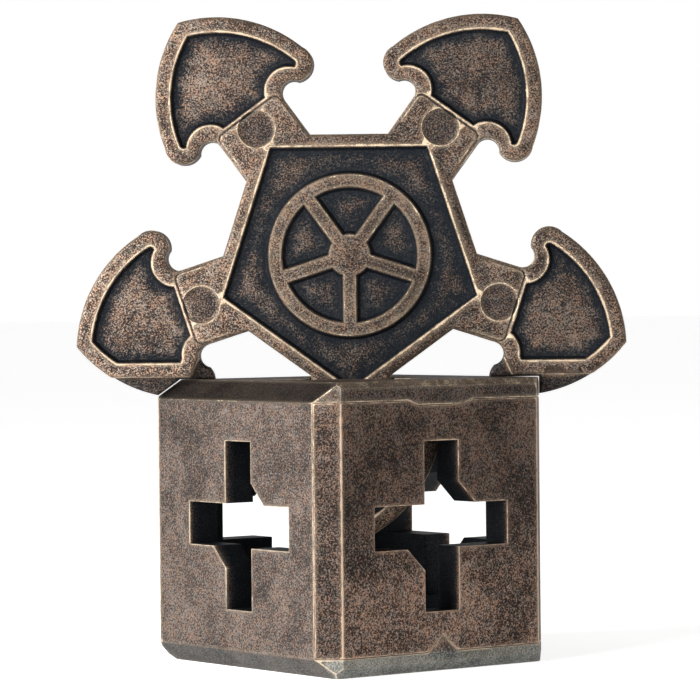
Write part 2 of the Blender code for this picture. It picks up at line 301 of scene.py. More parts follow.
def is_inside(points, outline):
    ends = np.roll(outline, -1, axis=0)
    out = np.zeros(len(points), bool)
    for (ax, ay), (bx, by) in zip(outline, ends):
        if ay != by:
            crossed = (ay > points[:, 1]) != (by > points[:, 1])
            out ^= crossed & (points[:, 0] < ax + (points[:, 1] - ay) * (bx - ax) / (by - ay))
    return out


def distance_and_side(points, outline):
    """Distance of each point to the closed outline, positive inside it."""
    near = nearest(points, outline, np.roll(outline, -1, axis=0))
    return np.where(is_inside(points, outline), near, -near)


def offset_row(outline, distance):
    """The outline moved inwards by distance, as runs of points, without what would cross itself."""
    before, after = np.roll(outline, 1, axis=0), np.roll(outline, -1, axis=0)
    d1, d2 = outline - before, after - outline
    n1 = np.stack([-d1[:, 1], d1[:, 0]], 1) / np.maximum(np.hypot(*d1.T), 1e-9)[:, None]
    n2 = np.stack([-d2[:, 1], d2[:, 0]], 1) / np.maximum(np.hypot(*d2.T), 1e-9)[:, None]
    mitre = (n1 + n2) / np.maximum(1.0 + (n1 * n2).sum(1), 0.3)[:, None]
    moved = outline + mitre * distance
    clear = distance_and_side(moved, outline) * math.copysign(1.0, distance)
    return moved, clear > abs(distance) - 0.006


def subtracted(outline, cutters):
    """What is left of the outline after cutting, as one closed outline."""
    points, faces = [], []
    for shape in [outline] + cutters:
        faces.append(list(range(len(points), len(points) + len(shape))))
        points += [Vector(p) for p in shape]
    verts, _, tris, _, _, _ = delaunay_2d_cdt(points, [], faces, 0, 1e-5)
    tris = facing_up(verts, tris)
    middles = np.array([np.mean([verts[i][:] for i in tri], axis=0) for tri in tris])
    wanted = distance_and_side(middles, outline) > 0.0
    for cutter in cutters:
        wanted &= distance_and_side(middles, cutter) < 0.0
    kept = [tri for tri, keep in zip(tris, wanted) if keep]
    directed = {(tri[i], tri[(i + 1) % len(tri)]) for tri in kept for i in range(len(tri))}
    follow = {a: b for a, b in directed if (b, a) not in directed}
    loops = []
    while follow:
        start, at = next(iter(follow.items()))
        del follow[start]
        loop = [start]
        while at != start:
            loop.append(at)
            at = follow.pop(at)
        loops.append(loop)
    return np.array([verts[i][:] for i in max(loops, key=len)])


def facing_up(verts, tris):
    """The triangles, all turned anticlockwise."""
    made = []
    for a, b, c in tris:
        (ax, ay), (bx, by), (cx, cy) = verts[a][:], verts[b][:], verts[c][:]
        made.append((a, b, c) if (bx - ax) * (cy - ay) > (by - ay) * (cx - ax) else (a, c, b))
    return made


def smooth(low, high, x):
    t = np.clip((x - low) / (high - low), 0.0, 1.0)
    return t * t * (3.0 - 2.0 * t)


# ---------------------------------------------------------------- the gear's outlines

def on_arm(points, k):
    return np.array([turned(p, LOWEST_ARM + k * ARM_STEP) for p in points])


def with_mirror(half):
    return [vec(p[0], -p[1]) for p in half] + half[-2::-1]


def arm_outline():
    half = [vec(GEAR_RISE - REST_GAP, NECK_HALF), vec(HEAD_START, NECK_HALF)]
    half += arc(half[-1], NOTCH_END, NOTCH_RISE)
    half += arc(NOTCH_END, HOOK_END, HOOK_RISE)
    half += arc(HOOK_END, (HEAD_TIP, 0.0), HEAD_RISE)
    return with_mirror(half)


def head_recess():
    half = [vec(*RECESS_START)]
    for end, rise, spacing in RECESS_ARCS:
        half += arc(half[-1], end, rise, spacing)
    return with_mirror(half)


def step_outline(side, growth=0.0):
    """Front half of a lower head that is cut away level with the cube's top."""
    level = -(GEAR_RISE - REST_GAP)
    slope = vec(STEP_OUTER_ACROSS - STEP_INNER[0], level + STEP_INNER[1])
    slope /= np.hypot(*slope)
    outward = vec(-slope[1], slope[0])
    shift = vec(*STEP_INNER) * vec(1.0, -1.0) + outward * growth
    top = level + growth
    corner = shift + slope * (top - shift[1]) / slope[1]
    start = shift - slope * 6.0 if growth else shift
    low, far = level - STEP_HEIGHT, HEAD_TIP + 4.0
    points = [start, corner, vec(far, top), vec(far, low), vec(STEP_SIDE, low), vec(STEP_SIDE, start[1])]
    return np.array([vec(side * p[0], p[1]) for p in points])


def left_relief():
    """What the cube's corner at -X -Y needs of a lower head, through its whole thickness."""
    level = -GEAR_RISE + CORNER_GAP
    ridge_top = vec(math.sqrt(2.0) * (HALF - CHAMFER), -GEAR_RISE)
    drop = CHAMFER - 0.5 * EDGE_BREAK
    slope = vec(math.sqrt(2.0) * drop, -drop)
    slope /= np.hypot(*slope)
    ridge_top = ridge_top + vec(-slope[1], slope[0]) * CORNER_GAP
    shoulder = ridge_top[0] + (level - ridge_top[1]) * slope[0] / slope[1]
    outer = math.hypot(HALF, HALF - EDGE_BREAK) + CORNER_GAP
    foot = ridge_top[1] + (outer - ridge_top[0]) * slope[1] / slope[0]
    low = level - RELIEF_HEIGHT
    points = [(RELIEF_INNER, level), (shoulder, level), (outer, foot), (outer, low), (RELIEF_INNER, low)]
    return np.array([vec(-x, y) for x, y in points])


def right_relief():
    """The same for the corner at +X +Y, whose top is level out to its blunt edge."""
    level = -GEAR_RISE + CORNER_GAP
    low = level - RELIEF_HEIGHT
    outer = math.hypot(HALF, HALF - CHAMFER) + CORNER_GAP
    return np.array([vec(RELIEF_INNER, level), vec(outer, level), vec(outer, low), vec(RELIEF_INNER, low)])


def emblem_sector(k):
    """One of the five sunk fields inside the ring, between two spokes."""
    first = LOWEST_ARM + k * ARM_STEP
    outer, inner = RING_RADIUS - RING_BAND, BOSS_RADIUS
    a_out, a_in = math.asin(SPOKE_HALF / outer), math.asin(SPOKE_HALF / inner)
    points = []
    for radius, low, high in ((outer, a_out, ARM_STEP - a_out), (inner, ARM_STEP - a_in, a_in)):
        steps = max(2, math.ceil(abs(high - low) * radius / SPACING))
        for i in range(steps + 1):
            angle = first + low + (high - low) * i / steps
            points.append(radius * vec(math.cos(angle), math.sin(angle)))
    return np.array(points)


def pad_outline(k):
    """The raised pad on a neck, with rounded corners towards the head."""
    corner = (PAD_END, PAD_HALF - PAD_CORNER)
    half = [vec(PAD_START, PAD_HALF), vec(PAD_END - PAD_CORNER, PAD_HALF)]
    half += arc(half[-1], corner, QUARTER_RISE * PAD_CORNER, FINE_SPACING)
    return on_arm([vec(p[0], -p[1]) for p in half] + half[::-1], k)


def gear_shapes():
    outline = np.concatenate([on_arm(arm_outline(), k) for k in range(ARM_COUNT)])
    outline = subtracted(outline, [left_relief(), right_relief()])
    steps = [step_outline(-1), step_outline(1)]
    heads = [on_arm(head_recess(), k) for k in range(ARM_COUNT)]
    stepped = list(heads)
    stepped[4] = subtracted(heads[4], [step_outline(-1, STEP_RIM)])
    stepped[1] = subtracted(heads[1], [step_outline(1, STEP_RIM)])
    hub = np.array([turned((HUB_RECESS_RADIUS, 0.0), LOWEST_ARM + k * ARM_STEP) for k in range(ARM_COUNT)])
    return outline, steps, heads, stepped, hub


def gear_details():
    """The emblem's sunk fields, the round marks and the pads on the necks."""
    sectors = [emblem_sector(k) for k in range(ARM_COUNT)]
    places = [turned((MARK_RISE, 0.0), LOWEST_ARM + k * ARM_STEP) for k in range(ARM_COUNT)]
    marks = [circle(MARK_RADIUS, place) for place in places]
    pads = [pad_outline(k) for k in range(ARM_COUNT)]
    return sectors, marks, pads


# ---------------------------------------------------------------- the gear's surface

def outer_round(inset, radius):
    """How far a rounded edge lies below the face, at a distance inside the outline."""
    t = np.clip(radius - inset, 0.0, radius)
    return np.sqrt(np.maximum(radius * radius - t * t, 0.0)) - radius


def deepest(points, outlines):
    """How far inside any of the outlines each point is, negative outside them all."""
    inside = np.full(len(points), -FAR)
    for outline in outlines:
        inside = np.maximum(inside, distance_and_side(points, outline))
    return inside


def panel_depth(points, heads, hub, sectors):
    """How far inside a sunk panel each point is. With an emblem, the hub's panel stops at its ring."""
    in_hub = distance_and_side(points, hub)
    if sectors:
        in_hub = np.minimum(in_hub, np.hypot(*points.T) - RING_RADIUS)
    return np.maximum(in_hub, deepest(points, heads + sectors))


def groove_gap(points, pads):
    """Distance from the groove round a neck's pad. It runs out towards the hub."""
    gap = np.full(len(points), FAR)
    for k, pad in enumerate(pads):
        rise = points @ turned((1.0, 0.0), LOWEST_ARM + k * ARM_STEP)
        gap = np.minimum(gap, np.abs(distance_and_side(points, pad)) + 2.0 * smooth(*GROOVE_RUNOUT, rise))
    return gap


def gear_face(points, outline, steps, heads, hub, sectors, marks, pads):
    """Height above the middle plane, with the wear values, of points on one face of the gear."""
    within = distance_and_side(points, outline)
    rim = np.minimum(within, -deepest(points, steps))
    floor = panel_depth(points, heads, hub, sectors)
    mark = deepest(points, marks)
    groove = groove_gap(points, pads)
    cut = smooth(GROOVE_HALF, 0.0, groove) * smooth(0.05, 0.5, rim) * (floor < 0.0)
    height = HALF_THICKNESS + outer_round(rim, RIM_ROUND)
    height -= RECESS_DEPTH * smooth(-0.05, 0.42, floor)
    height += RECESS_DISH * smooth(0.6, 4.0, floor)
    height -= MARK_DEPTH * smooth(-0.03, 0.12, mark)
    height -= GROOVE_DEPTH * cut
    lower = outer_round(within, STEP_ROUND)
    height = np.where(rim >= -1e-6, height, np.minimum(lower, height))
    radius = np.hypot(*points.T) if sectors else None
    return height, *gear_wear(rim, floor, mark, groove, cut, radius)


def gear_wear(rim, floor, mark, groove, cut, radius):
    """Distance to a worn edge, depth inside a panel and shelter. A radius is given for an emblem."""
    edge = np.minimum(np.abs(floor + 0.07), np.abs(mark + 0.05) + MARK_RELUCTANCE)
    edge = np.minimum(edge, np.abs(rim) + RIM_RELUCTANCE)
    edge = np.minimum(edge, np.abs(groove - 0.2) + GROOVE_RELUCTANCE)
    if radius is not None:
        edge = edge + EMBLEM_RELUCTANCE * smooth(RING_RADIUS + 0.6, RING_RADIUS, radius)
        in_hub = smooth(HUB_RECESS_RADIUS, HUB_RECESS_RADIUS - 1.0, radius)
        floor = floor * (1.0 - HUB_FLOOR_CUT * in_hub)
    in_step = smooth(0.0, -0.1, rim)
    in_mark = smooth(0.0, 0.25, mark)
    shelter = np.maximum(STEP_SHELTER * in_step, MARK_SHELTER * in_mark + GROOVE_SHELTER * cut)
    return edge, np.maximum(floor, 0.0), shelter


def triangulated(loop, rows, grid_step):
    """Triangles over the area inside loop that follow every row of points."""
    points = [Vector(p) for p in loop]
    edges = []
    for moved, clear in rows:
        ids = {}
        for i in np.flatnonzero(clear):
            ids[i] = len(points)
            points.append(Vector(moved[i]))
        count = len(moved)
        edges += [(ids[i], ids[(i + 1) % count]) for i in ids if (i + 1) % count in ids]
    points += between(points, loop, grid_step)
    verts, _, tris, origins, _, _ = delaunay_2d_cdt(points, edges, [list(range(len(loop)))], 0, 1e-4)
    border = {old: new for new, olds in enumerate(origins) for old in olds if old < len(loop)}
    tris = facing_up(verts, tris)
    places = np.array([v[:] for v in verts])
    inside = distance_and_side(places[np.array(tris)].mean(1), loop) > 0.0
    tris = [tri for tri, keep in zip(tris, inside) if keep]
    used = sorted({i for tri in tris for i in tri})
    renumbered = {old: new for new, old in enumerate(used)}
    tris = [tuple(renumbered[i] for i in tri) for tri in tris]
    return places[used], tris, [renumbered[border[i]] for i in range(len(loop))]


def between(points, loop, step):
    """Points of an even triangular grid inside the loop, away from the points there already."""
    taken = KDTree(len(points))
    for i, p in enumerate(points):
        taken.insert((*p, 0.0), i)
    taken.balance()
    low, high = loop.min(0), loop.max(0)
    columns = int((high[0] - low[0]) / step) + 2
    lines = int((high[1] - low[1]) / (step * LINE_SHARE)) + 2
    grid = np.array([(low[0] + (i + 0.5 * (j % 2)) * step, low[1] + j * step * LINE_SHARE)
                     for j in range(lines) for i in range(columns)])
    grid = grid[distance_and_side(grid, loop) > 0.45 * step]
    return [Vector(p) for p in grid if taken.find((*p, 0.0))[2] > 0.55 * step]


def gear_faces():
    """Front and rear face of the gear: triangles, surface values, and the side it faces."""
    outline, steps, heads, stepped, hub = gear_shapes()
    sectors, marks, pads = gear_details()
    loop = densified(outline)
    front_rows = rows_for([outline], RIM_ROWS) + rows_for(stepped + [hub] + sectors, WALL_ROWS)
    front_rows += rows_for(sectors, SPOKE_ROWS) + rows_for([circle(RING_RADIUS)], RING_ROWS)
    front_rows += rows_for(marks, MARK_ROWS) + rows_for(pads, PAD_ROWS) + rows_for(steps, STEP_ROWS)
    rear_rows = rows_for([outline], RIM_ROWS) + rows_for(heads + [hub], WALL_ROWS)
    rear_rows += rows_for(marks, MARK_ROWS)
    front = triangulated(loop, front_rows, GEAR_GRID)
    rear = triangulated(loop, rear_rows, GEAR_GRID)
    return ((front, gear_face(front[0], outline, steps, stepped, hub, sectors, marks, pads), 1.0),
            (rear, gear_face(rear[0], outline, [], heads, hub, [], marks, []), -1.0))


def rows_for(outlines, distances):
    return [offset_row(densified(o), d) for o in outlines for d in distances]


def gear_mesh():
    edit = bmesh.new()
    layers = [edit.verts.layers.float.new(name) for name in ("edge", "floor", "shelter")]
    borders = [add_face(edit, layers, *face) for face in gear_faces()]
    side_wall(edit, layers, *borders)
    bmesh.ops.recalc_face_normals(edit, faces=edit.faces)
    # Painted shade: darker on the hub and on the right-hand arms
    painted_shade = edit.verts.layers.float.new("painted_shade")
    for vert in edit.verts:
        vert[painted_shade] = gear_painted_shade(vert.co.x / MM, vert.co.y / MM)
    mesh = bpy.data.meshes.new("star_gear_cast")
    edit.to_mesh(mesh)
    edit.free()
    return mesh


def add_face(edit, layers, triangles, values, side):
    """Adds one face of the gear, and returns the vertices along its border."""
    points, tris, border = triangles
    verts = []
    for p, height, *wear in zip(points, *values):
        vert = edit.verts.new((p[0] * MM, p[1] * MM, side * height * MM))
        for layer, value in zip(layers, wear):
            vert[layer] = value
        verts.append(vert)
    for tri in tris:
        corners = [verts[i] for i in tri]
        edit.faces.new(corners if side > 0.0 else corners[::-1])
    return [verts[i] for i in border]


def gear_painted_shade(across, up):
    """Painted shade: darkest on the hub and on the right-hand arms, lighter to the left, as the light falls.
    """
    rightwards = smooth(*RIGHTWARD_SPAN, across)
    hub = smooth(*HUB_SPAN, math.hypot(across, up))
    upper_left = smooth(*UPWARD_SPAN, up) * smooth(*LEFTWARD_SPAN, across)
    return float(EVEN_PAINTED_SHADE + RIGHTWARD_PAINTED_SHADE * rightwards + HUB_PAINTED_SHADE * hub + UPPER_LEFT_PAINTED_SHADE * upper_left)


def side_wall(edit, layers, front, rear):
    """Rows of quads round the outline, from the front's border to the rear's."""
    rows = [front]
    for j in range(1, SIDE_ROWS):
        t = j / SIDE_ROWS
        row = []
        for a, b in zip(front, rear):
            vert = edit.verts.new(a.co.lerp(b.co, t))
            vert[layers[0]] = SIDE_EDGE + SIDE_EDGE_GROWTH * min(t, 1.0 - t)
            vert[layers[2]] = SIDE_SHELTER
            row.append(vert)
        rows.append(row)
    rows.append(rear)
    for upper, lower in zip(rows, rows[1:]):
        for i in range(len(upper)):
            j = (i + 1) % len(upper)
            edit.faces.new((upper[i], lower[i], lower[j], upper[j]))


# ---------------------------------------------------------------- the cube's castings

def prism(name, outline, thickness):
    """A flat outline with a thickness, centred on its own XY plane."""
    edit = bmesh.new()
    lower = [edit.verts.new((x * MM, y * MM, -0.5 * thickness * MM)) for x, y in outline]
    upper = [edit.verts.new((x * MM, y * MM, 0.5 * thickness * MM)) for x, y in outline]
    edit.faces.new(lower[::-1])
    edit.faces.new(upper)
    for i in range(len(lower)):
        j = (i + 1) % len(lower)
        edit.faces.new((lower[i], lower[j], upper[j], upper[i]))
    bmesh.ops.recalc_face_normals(edit, faces=edit.faces)
    return as_object(name, edit)


def box(name, size, centre=(0.0, 0.0, 0.0), rotation=(0.0, 0.0, 0.0)):
    edit = bmesh.new()
    bmesh.ops.create_cube(edit, size=1.0)
    edit.transform(Matrix.Diagonal((size[0] * MM, size[1] * MM, size[2] * MM, 1.0)))
    obj = as_object(name, edit)
    obj.location = Vector(centre) * MM
    obj.rotation_euler = rotation
    return obj


def as_object(name, edit):
    mesh = bpy.data.meshes.new(name)
    edit.to_mesh(mesh)
    edit.free()
    obj = bpy.data.objects.new(name, mesh)
    bpy.context.scene.collection.objects.link(obj)
    return obj


def boolean(target, cutter, operation):
    modifier = target.modifiers.new(operation.lower(), "BOOLEAN")
    modifier.operation = operation
    modifier.solver = "EXACT"
    modifier.object = cutter


def baked(obj):
    """Applies the object's modifiers."""
    graph = bpy.context.evaluated_depsgraph_get()
    mesh = bpy.data.meshes.new_from_object(obj.evaluated_get(graph))
    obj.modifiers.clear()
    obj.data = mesh


def cross_cutters():
    w, reach, c = 0.5 * SLOT_WIDTH, 0.5 * SLOT_LENGTH, SLOT_CORNER_CUT
    half = [(reach, -w), (reach, w), (w + c, w), (w, w + c), (w, reach), (-w, reach), (-w, w)]
    outline = half + [(-x, -y) for x, y in half]
    quarter = 0.25 * TURN
    turns = ((quarter, 0.0, 0.0), (quarter, 0.0, quarter), (quarter, 0.0, 2.0 * quarter),
             (quarter, 0.0, -quarter), (0.0, 0.0, 0.0), (2.0 * quarter, 0.0, 0.0))
    made = []
    for k, turn in enumerate(turns):
        cutter = prism(f"cut_cross_{k}", outline, WALL + 2.0 * OVERSHOOT)
        cutter.rotation_euler = turn
        outward = cutter.rotation_euler.to_matrix() @ Vector((0.0, 0.0, 1.0))
        cutter.location = (Vector((0.0, 0.0, HALF)) + outward * (HALF - 0.5 * WALL)) * MM
        made.append(cutter)
    return made


def edge_limit(name, axis, cuts):
    """A box turned by 45 degrees about one axis, whose sides are the chamfers of four edges."""
    first, second = [i for i in range(3) if i != axis]
    reach = [(SIDE - cut) / math.sqrt(2.0) for cut in cuts]
    size = [2.0 * SIDE] * 3
    size[first] = reach[0] + reach[1]
    size[second] = reach[2] + reach[3]
    offset = Vector()
    offset[first] = 0.5 * (reach[0] - reach[1])
    offset[second] = 0.5 * (reach[2] - reach[3])
    turn = Euler([0.125 * TURN if i == axis else 0.0 for i in range(3)])
    return box(name, size, Vector((0.0, 0.0, HALF)) + turn.to_matrix() @ offset, turn)


def chamfer_limits():
    return [edge_limit("cut_x", 0, (EDGE_BREAK, CHAMFER, CHAMFER, FOOT_BREAK)),
            edge_limit("cut_y", 1, (FOOT_BREAK, CHAMFER, EDGE_BREAK, EDGE_BREAK)),
            edge_limit("cut_z", 2, (CHAMFER, EDGE_BREAK, CHAMFER, CHAMFER))]


def back_territory(growth):
    """The space of the back casting, with the key and the tongue of the front casting taken out."""
    far, inner = SIDE, CAVITY_HALF - growth
    behind = -CAVITY_HALF - growth
    column = HALF - CHAMFER - growth
    plan = [(far, far), (far, -far), (column, -far), (column, behind), (inner, behind), (inner, inner),
            (-inner, inner), (-inner, behind), (-far, behind), (-far, far)]
    territory = prism("cut_back", plan[::-1], SIDE - 2.0 * PLATE_RIM + 2.0 * growth)
    territory.location = (0.0, 0.0, HALF * MM)
    for name, outline in (("cut_key", key_outline(growth)), ("cut_tongue", tongue_outline(growth))):
        lock = prism(name, outline, 4.0 * SIDE)
        lock.rotation_euler = (0.25 * TURN, 0.0, 0.25 * TURN)
        boolean(territory, lock, "DIFFERENCE")
    return territory


def key_outline(growth):
    """The pointed key at the foot of a side wall, along Y and Z."""
    reach = 0.5 * KEY_WIDTH * (KEY_HEIGHT + OVERSHOOT) / KEY_HEIGHT - growth
    foot = PLATE_RIM - OVERSHOOT
    return [(-reach, foot), (reach, foot), (0.0, PLATE_RIM + KEY_HEIGHT - growth)]


def tongue_outline(growth):
    """The shallow tongue at the head of a side wall, along Y and Z."""
    shoulder = SIDE - PLATE_RIM
    head = shoulder + OVERSHOOT
    low = shoulder - TONGUE_DEPTH + growth
    wide = 0.5 * TONGUE_WIDTH - growth
    narrow = wide - TONGUE_TAPER
    return [(-wide, head), (-wide, shoulder), (-narrow, low), (narrow, low), (wide, shoulder), (wide, head)]


def cube_castings():
    limits, crosses = chamfer_limits(), cross_cutters()
    cavity = box("cut_cavity", (2.0 * CAVITY_HALF,) * 3, (0.0, 0.0, HALF))
    claims = (("cube_shell_front", back_territory(0.5 * SEAM_GAP), "DIFFERENCE"),
              ("cube_shell_back", back_territory(-0.5 * SEAM_GAP), "INTERSECT"))
    made = []
    for name, territory, operation in claims:
        casting = box(name, (SIDE,) * 3, (0.0, 0.0, HALF))
        for limit in limits:
            boolean(casting, limit, "INTERSECT")
        for opening in [cavity] + crosses:
            boolean(casting, opening, "DIFFERENCE")
        boolean(casting, territory, operation)
        made.append(casting)
    for casting in made:
        baked(casting)
        casting.data.transform(casting.matrix_basis)
        casting.matrix_world = Matrix.Identity(4)
    for obj in [o for o in bpy.data.objects if o.name.startswith("cut_")]:
        bpy.data.objects.remove(obj, do_unlink=True)
    for casting in made:
        cast_finish(casting)
    return made


def cast_finish(obj):
    """Rounds the edges, cuts the faces into a fine grid and stores the wear values and the painted shade and
    reflection.
    """
    edit = bmesh.new()
    edit.from_mesh(obj.data)
    worn, reluctance = rounded(edit)
    cut_into_grid(edit)
    store_wear_and_painted_light(edit, worn, reluctance)
    edit.to_mesh(obj.data)
    edit.free()


def rounded(edit):
    """Rounds the convex edges, and returns where they ran and how reluctantly each one wears."""
    bmesh.ops.remove_doubles(edit, verts=edit.verts, dist=MERGE_DISTANCE * MM)
    bmesh.ops.dissolve_limit(edit, angle_limit=math.radians(1.0), verts=edit.verts, edges=edit.edges)
    sharp = [e for e in edit.edges if e.is_manifold and e.calc_face_angle() > math.radians(20.0)]
    convex = [e for e in sharp if e.is_convex]
    worn = np.array([[e.verts[0].co[:], e.verts[1].co[:]] for e in convex]) / MM
    reluctance = np.array([edge_reluctance(e) for e in convex])
    bmesh.ops.bevel(edit, geom=convex, offset=WORN_ROUND * MM, offset_type="OFFSET", segments=2,
                    profile=0.5, affect="EDGES", clamp_overlap=True)
    return worn, reluctance


def cut_into_grid(edit):
    """Cuts the faces by evenly spaced planes square to each axis."""
    cuts = np.arange(-HALF - GRID_SHIFT, SIDE, CUBE_GRID)
    for axis in range(3):
        normal = [0.0, 0.0, 0.0]
        normal[axis] = 1.0
        for at in cuts[cuts >= 0.0] if axis == 2 else cuts[cuts <= HALF]:
            geometry = edit.verts[:] + edit.edges[:] + edit.faces[:]
            bmesh.ops.bisect_plane(edit, geom=geometry, dist=1e-7, plane_co=[n * at * MM for n in normal],
                                   plane_no=normal)


def store_wear_and_painted_light(edit, worn, reluctance):
    """Gives each vertex its distance to a worn edge, its shelter, its painted shade and its painted
    reflection.
    """
    layers = [edit.verts.layers.float.new(name) for name in ("edge", "shelter", "painted_shade", "painted_reflection")]
    points = np.array([v.co[:] for v in edit.verts]) / MM
    edge = nearest(points, worn[:, 0], worn[:, 1], reluctance)
    across = np.minimum(HALF - np.abs(points[:, 0]), HALF - np.abs(points[:, 1]))
    depth = np.minimum(across, np.minimum(points[:, 2], SIDE - points[:, 2]))
    sheltered = smooth(INSIDE_DEPTH, FULL_SHELTER_DEPTH, depth)
    for vert, near, deep, shelter in zip(edit.verts, edge, depth, sheltered):
        vert[layers[0]] = near
        vert[layers[1]] = shelter if on_inside(vert.co, deep) else 0.0
        # Painted shade and painted reflection, by facet
        vert[layers[2]], vert[layers[3]] = facet_painted_light(*(vert.co / MM))


def facet_painted_light(x, y, z):
    """Painted shade and painted reflection of a point on the outside of the cube, by the facet it lies on.
    """
    if z - y > SIDE + HALF - CHAMFER - FACET_SLACK:
        return TOP_CHAMFER_TONES
    if z < PLATE_RIM - FACET_SLACK:
        return RIGHT_FOOT_TONES if x > HALF - RIGHT_FOOT_REACH else FOOT_TONES
    if x - y > SIDE - CHAMFER - FACET_SLACK:
        return COLUMN_TONES
    if x <= HALF - FACET_SLACK:
        return OTHER_TONES
    if z > SIDE - PLATE_RIM:
        return RIGHT_RIM_TONES
    # Painted shade: the +X face darker towards its top
    return float(RIGHT_FACE_PAINTED_SHADE * smooth(*RIGHT_FACE_HEIGHTS, z)), 0.0


def edge_reluctance(edge):
    """The soft level edges wear less, the upright ones more."""
    a, b = edge.verts[0].co / MM, edge.verts[1].co / MM
    if edge.calc_face_angle() > math.radians(60.0):
        return RELUCTANCE["square"]
    if max(a.z, b.z) < PLATE_RIM + 0.5:
        return RELUCTANCE["foot"]
    upright = abs(a.z - b.z) > 0.5 * SIDE
    return RELUCTANCE["upright" if upright else "level"]


def on_inside(co, deep):
    """False on the chamfers, which lie below two faces but are outside."""
    x, y, z = abs(co.x) / MM, abs(co.y) / MM, abs(co.z / MM - HALF)
    chamfer = max(x + z, y + z, x + y)
    return deep > INSIDE_DEPTH and chamfer < 2.0 * HALF - CHAMFER - 0.3


# ---------------------------------------------------------------- patina

class Graph:
    """Small helper that adds and joins shader nodes."""

    def __init__(self, material):
        material.use_nodes = True
        self.tree = material.node_tree
        self.shader = self.tree.nodes["Principled BSDF"]

    def join(self, value, socket):
        if isinstance(value, bpy.types.NodeSocket):
            self.tree.links.new(value, socket)
        elif value is not None:
            socket.default_value = value

    def math(self, operation, a, b=None, clamp=False):
        node = self.tree.nodes.new("ShaderNodeMath")
        node.operation = operation
        node.use_clamp = clamp
        self.join(a, node.inputs[0])
        self.join(b, node.inputs[1])
        return node.outputs[0]

    def span(self, value, low, high, to_low=0.0, to_high=1.0):
        node = self.tree.nodes.new("ShaderNodeMapRange")
        node.interpolation_type = "SMOOTHSTEP"
        self.join(value, node.inputs["Value"])
        for name, number in (("From Min", low), ("From Max", high), ("To Min", to_low), ("To Max", to_high)):
            node.inputs[name].default_value = number
        return node.outputs["Result"]

    def mix(self, share, a, b):
        node = self.tree.nodes.new("ShaderNodeMix")
        node.data_type = "RGBA"
        self.join(share, node.inputs["Factor"])
        self.join(a if isinstance(a, bpy.types.NodeSocket) else (*a, 1.0), node.inputs["A"])
        self.join(b if isinstance(b, bpy.types.NodeSocket) else (*b, 1.0), node.inputs["B"])
        return node.outputs["Result"]

    def times(self, a, b):
        node = self.tree.nodes.new("ShaderNodeVectorMath")
        node.operation = "MULTIPLY"
        self.join(a, node.inputs[0])
        self.join(b, node.inputs[1])
        return node.outputs["Vector"]

    def swing(self, value, weight):
        """The value's swing about a half, times weight."""
        return self.math("MULTIPLY", self.math("SUBTRACT", value, 0.5), weight)

    def noise(self, place, scale, detail=2.0, roughness=0.55, distortion=0.0):
        node = self.tree.nodes.new("ShaderNodeTexNoise")
        self.join(place, node.inputs["Vector"])
        node.inputs["Scale"].default_value = scale
        node.inputs["Detail"].default_value = detail
        node.inputs["Roughness"].default_value = roughness
        node.inputs["Distortion"].default_value = distortion
        return node.outputs["Fac"]

    def attribute(self, name):
        node = self.tree.nodes.new("ShaderNodeAttribute")
        node.attribute_name = name
        return node.outputs["Fac"]


def patina(name, palette, shift):
    """Antique plating: dark in the hollows, speckled on the faces and rubbed bright along the edges."""
    material = bpy.data.materials.new(name)
    g = Graph(material)
    place = own_place(g, shift)
    grain, mottle = g.noise(place, *GRAIN), g.noise(place, *MOTTLE)
    fine, cloud = g.noise(place, *FINE), g.noise(place, *CLOUD)
    tone = g.math("ADD", g.math("MULTIPLY", grain, GRAIN_SHARE), g.math("MULTIPLY", fine, FINE_SHARE))
    tone = g.math("ADD", tone, g.swing(mottle, MOTTLE_SWING))
    tone = g.math("ADD", tone, g.swing(cloud, CLOUD_SWING))

    hidden = hollows(g, grain, mottle)
    bright, halo = rubbing(g, grain, mottle, hidden)
    colour = plating(g, place, tone, palette)
    blue_black = g.mix(g.span(tone, *HOLLOW_SPAN), *HOLLOW_COLOURS)
    colour = g.mix(g.math("MULTIPLY", hidden, HOLLOW_SHARE), colour, blue_black)
    colour = g.mix(g.math("MAXIMUM", g.math("MULTIPLY", bright, BRIGHT_SHARE), halo), colour, palette[3])
    g.join(colour, g.shader.inputs["Base Color"])

    g.shader.inputs["Metallic"].default_value = METALLIC
    g.shader.inputs["Specular IOR Level"].default_value = SPECULAR
    smoother = g.math("MULTIPLY", bright, RUBBED_SMOOTHER)
    g.join(g.math("SUBTRACT", g.span(tone, *ROUGH_SPAN), smoother), g.shader.inputs["Roughness"])
    g.join(bumps(g, place, grain, fine), g.shader.inputs["Normal"])
    return material


def own_place(g, shift):
    """The object's own coordinates, in millimetres and shifted."""
    coordinates = g.tree.nodes.new("ShaderNodeTexCoord")
    mapping = g.tree.nodes.new("ShaderNodeMapping")
    g.join(coordinates.outputs["Object"], mapping.inputs["Vector"])
    mapping.inputs["Scale"].default_value = (1.0 / MM,) * 3
    mapping.inputs["Location"].default_value = shift
    return mapping.outputs["Vector"]


def plating(g, place, tone, palette):
    """The speckled colour of the open faces, greyer where a reflection of the pale floor is painted and
    darker where shade is painted.
    """
    dark, middle, light, _ = palette
    colour = g.mix(g.span(tone, *MIDDLE_SPAN), dark, middle)
    colour = g.mix(g.span(tone, *LIGHT_SPAN), colour, light)
    hue = g.span(g.noise(place, *TINT), *TINT_SPAN)
    colour = g.times(colour, g.mix(hue, *TINT_COLOURS))
    grey = g.mix(g.span(tone, *PAINTED_REFLECTION_SPAN), *PAINTED_REFLECTION_COLOURS)
    # Painted reflection of the pale floor: greyer on the feet
    colour = g.mix(g.math("MULTIPLY", g.attribute("painted_reflection"), PAINTED_REFLECTION_SHARE), colour, grey)
    # Painted shade: the colour is mixed towards a dark brown
    return g.mix(g.attribute("painted_shade"), colour, PAINTED_SHADE_COLOUR)


